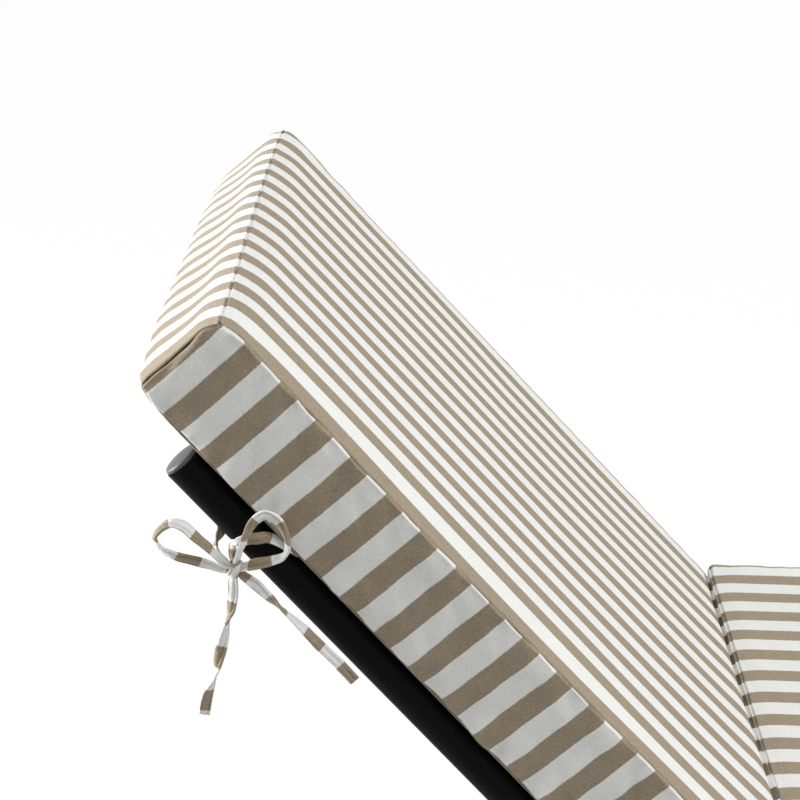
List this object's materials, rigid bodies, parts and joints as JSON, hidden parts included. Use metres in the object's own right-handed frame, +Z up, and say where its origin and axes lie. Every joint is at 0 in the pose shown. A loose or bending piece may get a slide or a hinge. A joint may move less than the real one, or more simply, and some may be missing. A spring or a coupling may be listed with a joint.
{
  "type": "sun lounger cushion on a lounger frame",
  "caption": "Boxed foam sun lounger cushion in striped cloth, its back raised at a stitched fold, tied with bows to a plain round-tube lounger frame.",
  "frame": {"origin": "on the floor, under the middle of the footprint of the cushion and frame", "axes": "+Z up, +X from the raised head end to the foot end, +Y across to the far side; the near side, seen in the picture, is -Y"},
  "size_m": [1.7336, 0.644, 0.8858],
  "materials": {
    "cover_cloth": "woven canvas in taupe and white stripes, matt",
    "tie_cloth": "the same striped canvas folded to a narrow band, matt",
    "black_tube": "black satin powder coat",
    "grey_plastic": "pale grey end plug, satin",
    "black_plastic": "black moulded joint cover, fine grain",
    "black_rubber": "black rubber foot, matt"
  },
  "bodies": {
    "root": {"cushion_back": "cover_cloth", "cushion_seat": "cover_cloth", "hinge_strip": "cover_cloth", "hinge_joint_near": "black_plastic", "back_tube_near": "black_tube", "seat_rail_near": "black_tube", "back_end_cap_near": "grey_plastic", "rail_end_cap_near": "grey_plastic", "hinge_joint_far": "black_plastic", "back_tube_far": "black_tube", "seat_rail_far": "black_tube", "back_end_cap_far": "grey_plastic", "rail_end_cap_far": "grey_plastic", "back_cross_1": "black_tube", "back_cross_2": "black_tube", "back_cross_3": "black_tube", "seat_cross_1": "black_tube", "seat_cross_2": "black_tube", "seat_cross_3": "black_tube", "seat_cross_4": "black_tube", "seat_cross_5": "black_tube", "leg_head_near": "black_tube", "foot_head_near": "black_rubber", "leg_head_far": "black_tube", "foot_head_far": "black_rubber", "brace_head": "black_tube", "leg_foot_near": "black_tube", "foot_foot_near": "black_rubber", "leg_foot_far": "black_tube", "foot_foot_far": "black_rubber", "brace_foot": "black_tube", "tie_near_front_wrap": "tie_cloth", "tie_near_back_wrap": "tie_cloth", "tie_near_knot": "tie_cloth", "tie_near_left_loop": "tie_cloth", "tie_near_right_loop": "tie_cloth", "tie_near_left_tail": "tie_cloth", "tie_near_right_tail": "tie_cloth", "tie_far_front_wrap": "tie_cloth", "tie_far_back_wrap": "tie_cloth", "tie_far_knot": "tie_cloth", "tie_far_left_loop": "tie_cloth", "tie_far_right_loop": "tie_cloth", "tie_far_left_tail": "tie_cloth", "tie_far_right_tail": "tie_cloth"}
  },
  "joints": []
}
